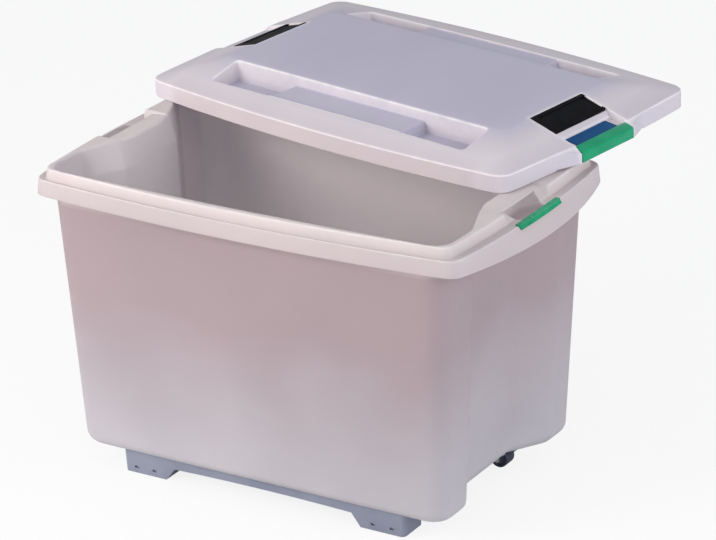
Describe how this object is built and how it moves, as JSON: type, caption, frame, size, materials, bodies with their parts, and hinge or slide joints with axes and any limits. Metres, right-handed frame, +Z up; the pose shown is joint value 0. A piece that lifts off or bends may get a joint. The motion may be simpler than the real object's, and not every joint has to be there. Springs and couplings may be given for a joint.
{
  "type": "food storage bin",
  "caption": "Translucent drafted storage bin on skids and tilting wheels, with hand-hole handles and a lift-off stacking lid that carries label holders and colour clips.",
  "frame": {"origin": "on the floor, at the centre of the four feet's undersides under the tub", "axes": "+X along the long sides towards the end with the wheels, +Y from the front side to the back, +Z up"},
  "size_m": [0.658, 0.6635, 0.4541],
  "materials": {
    "tub_plastic": "translucent, finely frosted",
    "lid_plastic": "translucent, satin",
    "skid_plastic": "satin",
    "bracket_plastic": "satin",
    "axle_steel": "brushed",
    "wheel_plastic": "satin",
    "green_plastic": "gloss",
    "blue_plastic": "gloss",
    "black_plastic": "satin",
    "tag_plastic": "matt"
  },
  "bodies": {
    "bin": {"tub": "tub_plastic", "front_skid": "skid_plastic", "rear_skid": "skid_plastic", "front_wheel_bracket": "bracket_plastic", "rear_wheel_bracket": "bracket_plastic", "front_axle": "axle_steel", "rear_axle": "axle_steel", "grip_clip": "green_plastic"},
    "lid_group": {"lid": "lid_plastic", "lid_clip": "green_plastic", "colour_plate": "blue_plastic", "left_label_holder": "black_plastic", "right_label_holder": "black_plastic", "left_label_tag": "tag_plastic", "right_label_tag": "tag_plastic"},
    "wheel_front": {"front_wheel": "wheel_plastic"},
    "wheel_rear": {"rear_wheel": "wheel_plastic"}
  },
  "joints": [
    {"name": "lid_lift", "type": "slide", "parent": "bin", "child": "lid_group", "axis": [0, 0, 1], "range_m": [0, 0.3]},
    {"name": "front_wheel_spin", "type": "hinge", "parent": "bin", "child": "wheel_front", "pos_m": [0.212, -0.078, 0.015], "axis": [0, 1, 0], "continuous": true},
    {"name": "rear_wheel_spin", "type": "hinge", "parent": "bin", "child": "wheel_rear", "pos_m": [0.212, 0.078, 0.015], "axis": [0, 1, 0], "continuous": true}
  ]
}
